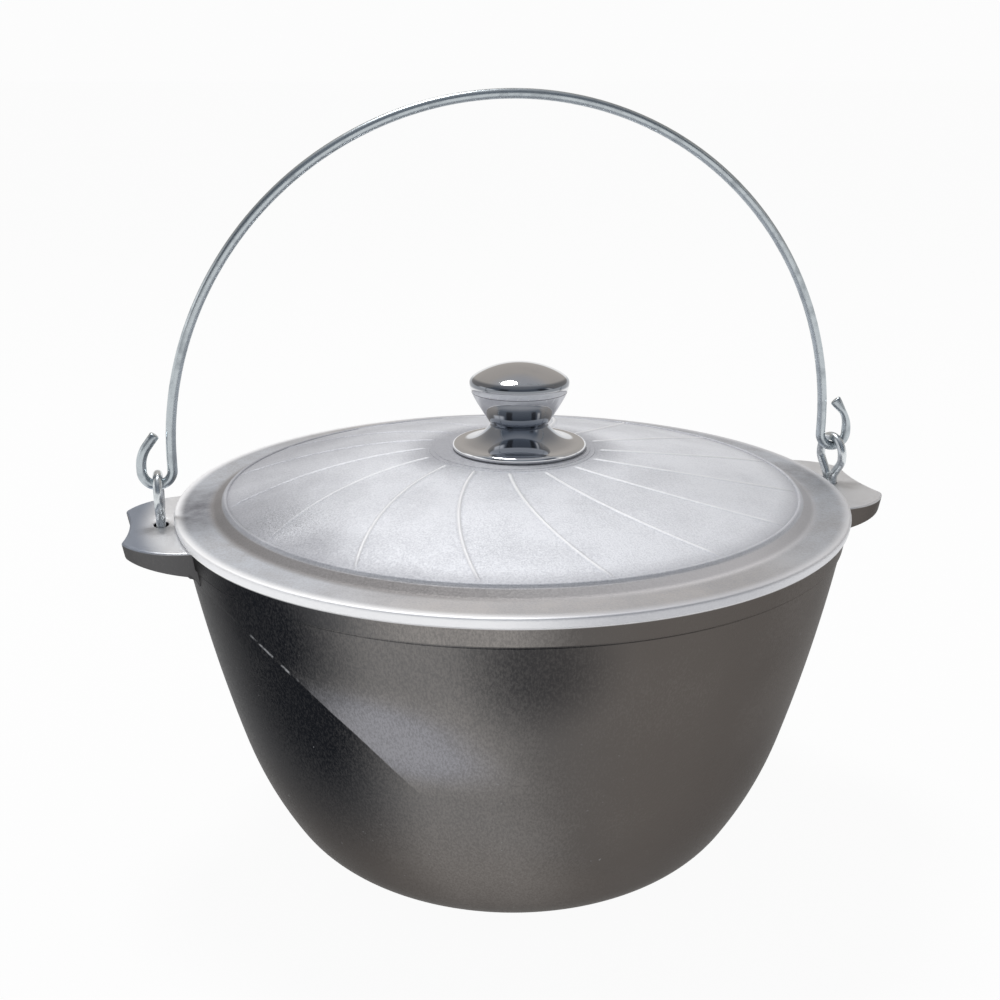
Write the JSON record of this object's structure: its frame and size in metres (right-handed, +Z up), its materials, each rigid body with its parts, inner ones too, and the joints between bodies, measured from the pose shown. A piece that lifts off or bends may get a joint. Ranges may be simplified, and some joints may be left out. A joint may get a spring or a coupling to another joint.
{
  "type": "camp cauldron",
  "caption": "Cast aluminium cooking cauldron with a swirl-ribbed domed lid, a chromed knob and a wire bail that swings on hooks through wire eyes in its cast ears.",
  "frame": {"origin": "on the axis of the pot, on the plane that its base stands on", "axes": "+Z up, +X along the line through the two ears towards the right ear in the picture, -Y towards the viewer"},
  "size_m": [0.342, 0.3, 0.341],
  "materials": {
    "pot_casting": "satin sand-cast aluminium, turned on the outside",
    "lid_casting": "satin cast aluminium with a bright turned brim edge",
    "chrome": "mirror chrome on pressed sheet",
    "core_steel": "plain turned steel",
    "zinc_hardware": "zinc-plated steel",
    "zinc_wire": "galvanised drawn wire"
  },
  "bodies": {
    "kettle": {"kettle_pot": "pot_casting"},
    "lid": {"lid": "lid_casting", "knob_skirt": "chrome", "knob_bowl": "chrome", "knob_cap": "chrome", "knob_core": "core_steel", "knob_screw": "zinc_hardware", "flat_washer": "zinc_hardware", "spring_washer": "zinc_hardware"},
    "bail": {"bail": "zinc_wire"},
    "eye_left": {"eye_left": "zinc_wire"},
    "eye_right": {"eye_right": "zinc_wire"}
  },
  "joints": [
    {"name": "lid_lift", "type": "slide", "parent": "kettle", "child": "lid", "axis": [0, 0, 1], "range_m": [0, 0.007]},
    {"name": "bail_swing", "type": "hinge", "parent": "kettle", "child": "bail", "pos_m": [0, 0, 0.17865], "axis": [1, 0, 0], "range_deg": [-94, 94]},
    {"name": "eye_left_swivel", "type": "hinge", "parent": "kettle", "child": "eye_left", "pos_m": [-0.1552, 0, 0.161], "axis": [0, 0, 1], "range_deg": [-12, 12]},
    {"name": "eye_right_swivel", "type": "hinge", "parent": "kettle", "child": "eye_right", "pos_m": [0.1552, 0, 0.161], "axis": [0, 0, 1], "range_deg": [-24, 0]}
  ]
}
